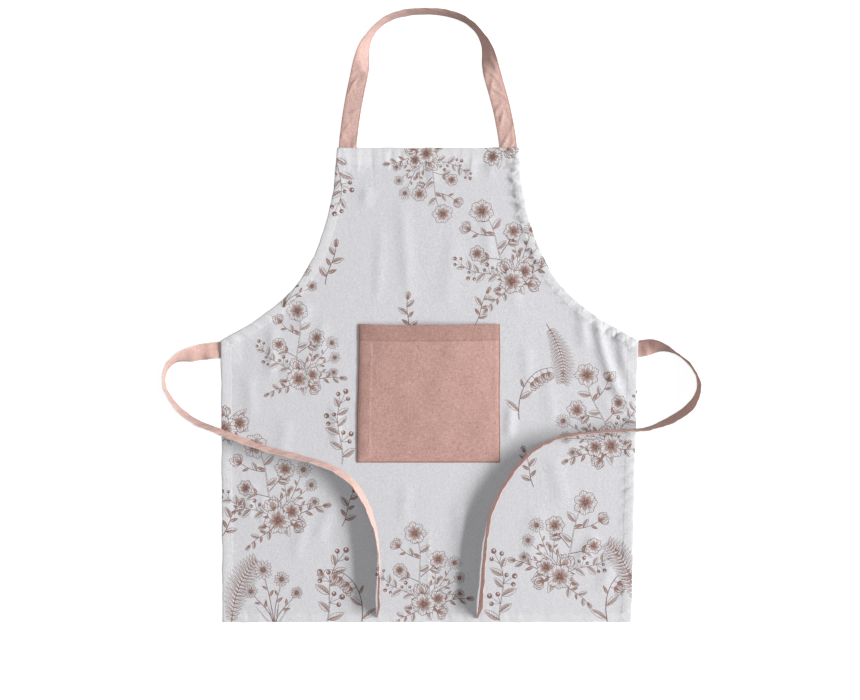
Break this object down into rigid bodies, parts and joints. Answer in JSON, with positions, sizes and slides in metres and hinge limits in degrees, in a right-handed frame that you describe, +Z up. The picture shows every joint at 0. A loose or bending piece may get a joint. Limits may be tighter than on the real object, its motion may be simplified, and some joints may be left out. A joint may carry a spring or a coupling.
{
  "type": "apron",
  "caption": "Cotton bib apron lying flat, with a patch pocket, a neck loop and two waist ties that fold in over the front.",
  "frame": {"origin": "the middle of the whole apron's outline, on the surface that it lies on", "axes": "+Y from the bottom hem to the bib and the neck loop, +X to the right as the printed side is seen, +Z up out of the printed side"},
  "size_m": [0.906, 1.0274, 0.0301],
  "materials": {
    "printed_cotton": "plain woven cotton, off-white, with a floral line print in dusty rose-brown",
    "rose_chambray": "rose cotton chambray with a visible weave",
    "blush_tape": "blush pink cotton, folded into a tape and edge stitched"
  },
  "bodies": {
    "root": {"panel": "printed_cotton", "pocket": "rose_chambray", "neck_strap": "blush_tape", "tie_left": "blush_tape", "tie_right": "blush_tape"}
  },
  "joints": []
}
